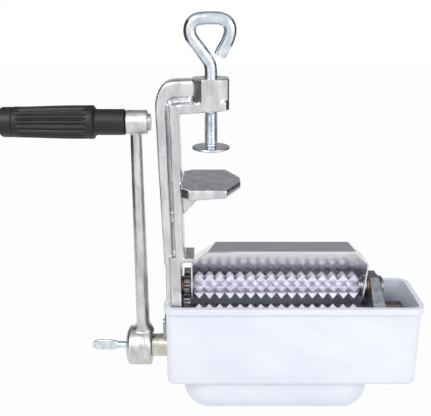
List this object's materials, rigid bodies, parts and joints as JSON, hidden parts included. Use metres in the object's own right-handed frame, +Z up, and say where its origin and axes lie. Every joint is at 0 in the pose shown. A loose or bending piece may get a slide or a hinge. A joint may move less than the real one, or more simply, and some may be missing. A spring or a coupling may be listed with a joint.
{
  "type": "hand-cranked roller machine",
  "caption": "Table-clamped roller machine: hand crank, geared studded rollers under a sheet hood, and a white drop-off tray.",
  "frame": {"origin": "on the clamp screw's axis, at the top face of the fixed jaw plate", "axes": "+X along the roller shafts away from the crank, +Y away from the user, +Z up"},
  "size_m": [0.3099, 0.0594, 0.3072],
  "materials": {
    "cast_alloy": "polished casting",
    "cast_alloy_satin": "satin casting",
    "zinc_steel": "bright zinc plate",
    "hood_steel": "polished sheet",
    "roller_alloy": "bright milled",
    "shaft_steel": "turned",
    "gear_steel": "machined",
    "bronze": "sintered bronze",
    "nickel": "nickel plate",
    "dark_steel": "blackened",
    "spring_steel": "spring temper",
    "black_grip": "ribbed moulding",
    "white_tray": "glossy moulding"
  },
  "bodies": {
    "frame": {"frame_casting": "cast_alloy", "right_side_plate": "cast_alloy_satin", "hood": "hood_steel", "hood_screws": "zinc_steel", "tie_rod_upper": "shaft_steel", "tie_rod_lower": "shaft_steel", "tie_cap_nut": "dark_steel", "tie_hex_nut": "zinc_steel", "crank_bearing_sleeve": "nickel", "upper_left_bush": "bronze", "upper_right_bush": "bronze", "lower_left_bush": "bronze", "lower_right_bush": "bronze", "tray_clip_left": "spring_steel", "tray_clip_screw": "zinc_steel", "tray_clips_right": "spring_steel"},
    "crank": {"crank_shaft": "shaft_steel", "drive_gear": "gear_steel", "crank_thrust_washer": "bronze", "crank_shaft_ring": "spring_steel", "crank_arm": "cast_alloy_satin", "grip_spindle": "shaft_steel", "spindle_ring": "spring_steel"},
    "arm_washer": {"domed_washer": "zinc_steel"},
    "arm_screw": {"thumb_screw": "zinc_steel"},
    "handle": {"grip": "black_grip", "grip_end_cap": "black_grip"},
    "lower_roller": {"lower_roller_shaft": "shaft_steel", "lower_roller_drum": "roller_alloy", "lower_roller_gear": "gear_steel", "lower_shaft_ring": "spring_steel"},
    "upper_roller": {"upper_roller_shaft": "shaft_steel", "upper_roller_drum": "roller_alloy", "upper_roller_gear": "gear_steel", "upper_shaft_ring": "spring_steel"},
    "pad": {"clamp_pad": "zinc_steel"},
    "clamp_spindle": {"clamp_screw": "zinc_steel"},
    "tray": {"tray": "white_tray"}
  },
  "joints": [
    {"name": "crank_turn", "type": "hinge", "parent": "frame", "child": "crank", "pos_m": [-0.05, -0.00401, -0.13549], "axis": [1, 0, 0], "continuous": true},
    {"name": "lower_roller_spin", "type": "hinge", "parent": "frame", "child": "lower_roller", "pos_m": [0.05, -0.008, -0.1103], "axis": [1, 0, 0], "continuous": true},
    {"name": "upper_roller_spin", "type": "hinge", "parent": "frame", "child": "upper_roller", "pos_m": [0.05, 0.00405, -0.08783], "axis": [1, 0, 0], "continuous": true},
    {"name": "grip_spin", "type": "hinge", "parent": "crank", "child": "handle", "pos_m": [-0.1, -0.00401, 0.04351], "axis": [1, 0, 0], "continuous": true},
    {"name": "washer_lift", "type": "slide", "parent": "crank", "child": "arm_washer", "axis": [-1, 0, 0], "range_m": [0, 0.0096]},
    {"name": "thumb_screw_turn", "type": "hinge", "parent": "arm_washer", "child": "arm_screw", "pos_m": [-0.07, -0.00401, -0.13549], "axis": [-1, 0, 0], "range_deg": [0, 4320]},
    {"name": "pad_travel", "type": "slide", "parent": "frame", "child": "pad", "axis": [0, 0, -1], "range_m": [-0.024, 0.003]},
    {"name": "clamp_screw_turn", "type": "hinge", "parent": "pad", "child": "clamp_spindle", "pos_m": [0, 0, 0.06], "axis": [0, 0, -1], "range_deg": [-5760, 720]},
    {"name": "tray_drop", "type": "slide", "parent": "frame", "child": "tray", "axis": [0, 0, -1], "range_m": [0, 0.11]}
  ],
  "couplings": [
    {"joint": "lower_roller_spin", "follows": "crank_turn", "ratio": -1},
    {"joint": "upper_roller_spin", "follows": "crank_turn", "ratio": 1},
    {"joint": "clamp_screw_turn", "follows": "pad_travel", "rad_per_m": 4188.8},
    {"joint": "thumb_screw_turn", "follows": "washer_lift", "rad_per_m": 7854}
  ]
}
